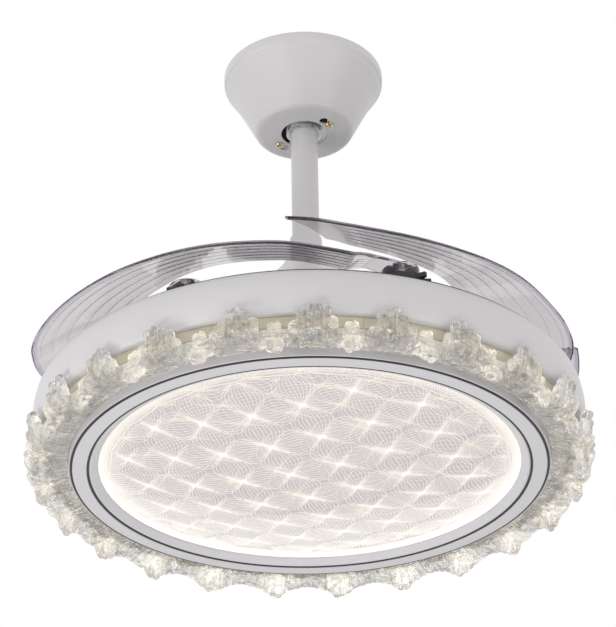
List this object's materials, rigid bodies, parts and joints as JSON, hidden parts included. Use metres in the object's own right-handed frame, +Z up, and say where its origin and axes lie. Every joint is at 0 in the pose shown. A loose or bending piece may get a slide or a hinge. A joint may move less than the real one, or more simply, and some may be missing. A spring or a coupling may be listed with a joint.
{
  "type": "chandelier ceiling fan",
  "caption": "Ceiling fan on a down rod, with clear blades that fold in over a round crystal-edged lamp and open as the motor turns.",
  "frame": {"origin": "on the ceiling, at the middle of the hanger bracket's upper face, on the fan's axis", "axes": "+Z up along the down rod, out of the ceiling face; +Y away from the viewer of the picture"},
  "size_m": [0.5156, 0.5156, 0.4589],
  "materials": {
    "white_paint": "smooth warm-white baked paint, low sheen",
    "trim_white": "smooth lilac-white satin plastic",
    "case_white": "plain white moulded plastic",
    "black_paint": "satin black baked paint",
    "black_cast": "satin black paint on cast aluminium",
    "black_moulding": "black moulded plastic sheet, fine grain",
    "white_aluminium": "white paint on spun aluminium",
    "zinc_plate": "bright zinc plate over pressed steel",
    "yellow_zinc": "yellow zinc plate on steel screws",
    "bare_steel": "turned bare steel",
    "core_steel": "stacked steel laminations",
    "magnet": "dark sintered magnet",
    "copper": "enamelled copper wire",
    "smoke_acrylic": "clear smoke-lilac acrylic sheet, polished",
    "clear_acrylic": "clear acrylic cover with an engraved pattern",
    "white_reflector": "polished grey-white reflector sheet",
    "crystal_acrylic": "clear moulded acrylic, fluted and polished",
    "opal_acrylic": "frosted warm-white acrylic",
    "warm_board": "warm-white light strip",
    "black_inlay": "matt black inlay",
    "gear_plastic": "dark moulded nylon"
  },
  "bodies": {
    "ceiling_mount": {"hanger_bracket": "black_paint", "canopy_screw_1": "yellow_zinc", "canopy_screw_2": "yellow_zinc"},
    "canopy": {"canopy_cover": "white_paint"},
    "ball": {"hanger_ball": "gear_plastic", "hanger_pin": "bare_steel"},
    "stem": {"down_rod": "white_paint", "rod_collar": "zinc_plate", "rod_coupling": "zinc_plate", "coupling_bolt": "bare_steel", "coupling_cover": "white_paint", "motor_shaft": "bare_steel", "stator_core": "core_steel", "stator_winding": "copper", "drum_shell": "white_paint", "drum_top": "black_moulding", "lamp_hanger": "zinc_plate", "shaft_nut": "bare_steel", "lamp_pan": "white_aluminium", "drum_floor": "zinc_plate", "lamp_driver": "case_white", "remote_receiver": "case_white", "back_plate": "white_reflector", "pattern_dome": "clear_acrylic", "edge_light_strip": "warm_board", "trim_ring": "trim_white", "outer_inlay": "black_inlay", "inner_inlay": "black_inlay", "halo_light_strip": "warm_board", "frosted_band": "opal_acrylic", "crystal_segment_1": "crystal_acrylic", "crystal_segment_2": "crystal_acrylic", "crystal_segment_3": "crystal_acrylic", "crystal_segment_4": "crystal_acrylic", "crystal_segment_5": "crystal_acrylic", "crystal_segment_6": "crystal_acrylic"},
    "rotor": {"rotor_lower_cover": "black_cast", "rotor_upper_cover": "black_cast", "lower_bearing": "bare_steel", "upper_bearing": "bare_steel", "magnet_ring": "magnet", "blade_carrier": "black_cast", "gear_keeper": "black_paint", "hinge_pin_1": "bare_steel", "hinge_pin_2": "bare_steel", "hinge_pin_3": "bare_steel", "hinge_pin_4": "bare_steel", "blade_spring_1": "bare_steel", "blade_spring_2": "bare_steel", "blade_spring_3": "bare_steel", "blade_spring_4": "bare_steel"},
    "blade_1_arm": {"blade_1": "smoke_acrylic", "blade_gear_1": "gear_plastic"},
    "blade_2_arm": {"blade_2": "smoke_acrylic", "blade_gear_2": "gear_plastic"},
    "blade_3_arm": {"blade_3": "smoke_acrylic", "blade_gear_3": "gear_plastic"},
    "blade_4_arm": {"blade_4": "smoke_acrylic", "blade_gear_4": "gear_plastic"},
    "ring": {"ring_gear": "gear_plastic"}
  },
  "joints": [
    {"name": "canopy_twist", "type": "hinge", "parent": "ceiling_mount", "child": "canopy", "pos_m": [0, 0, 0], "axis": [0, 0, 1], "range_deg": [0, 14]},
    {"name": "ball_swing", "type": "hinge", "parent": "ceiling_mount", "child": "ball", "pos_m": [0, 0, -0.03794], "axis": [1, 0, 0], "range_deg": [-4, 4]},
    {"name": "rod_swing", "type": "hinge", "parent": "ball", "child": "stem", "pos_m": [0, 0, -0.03794], "axis": [0, 1, 0], "range_deg": [-4, 4]},
    {"name": "rotor_spin", "type": "hinge", "parent": "stem", "child": "rotor", "pos_m": [0, 0, -0.337], "axis": [0, 0, 1], "continuous": true},
    {"name": "blade_1_open", "type": "hinge", "parent": "rotor", "child": "blade_1_arm", "pos_m": [0.08373, -0.10717, -0.297], "axis": [0, 0, 1], "range_deg": [0, 130], "stiffness_Nm_per_rad": 0.03, "springref_deg": -17.19},
    {"name": "blade_2_open", "type": "hinge", "parent": "rotor", "child": "blade_2_arm", "pos_m": [0.10717, 0.08373, -0.297], "axis": [0, 0, 1], "range_deg": [0, 130], "stiffness_Nm_per_rad": 0.03, "springref_deg": -17.19},
    {"name": "blade_3_open", "type": "hinge", "parent": "rotor", "child": "blade_3_arm", "pos_m": [-0.08373, 0.10717, -0.297], "axis": [0, 0, 1], "range_deg": [0, 130], "stiffness_Nm_per_rad": 0.03, "springref_deg": -17.19},
    {"name": "blade_4_open", "type": "hinge", "parent": "rotor", "child": "blade_4_arm", "pos_m": [-0.10717, -0.08373, -0.297], "axis": [0, 0, 1], "range_deg": [0, 130], "stiffness_Nm_per_rad": 0.03, "springref_deg": -17.19},
    {"name": "ring_gear_turn", "type": "hinge", "parent": "rotor", "child": "ring", "pos_m": [0, 0, -0.304], "axis": [0, 0, 1], "range_deg": [-28, 0]}
  ],
  "couplings": [
    {"joint": "blade_2_open", "follows": "blade_1_open", "ratio": 1},
    {"joint": "blade_3_open", "follows": "blade_1_open", "ratio": 1},
    {"joint": "blade_4_open", "follows": "blade_1_open", "ratio": 1},
    {"joint": "ring_gear_turn", "follows": "blade_1_open", "ratio": -0.21429}
  ]
}
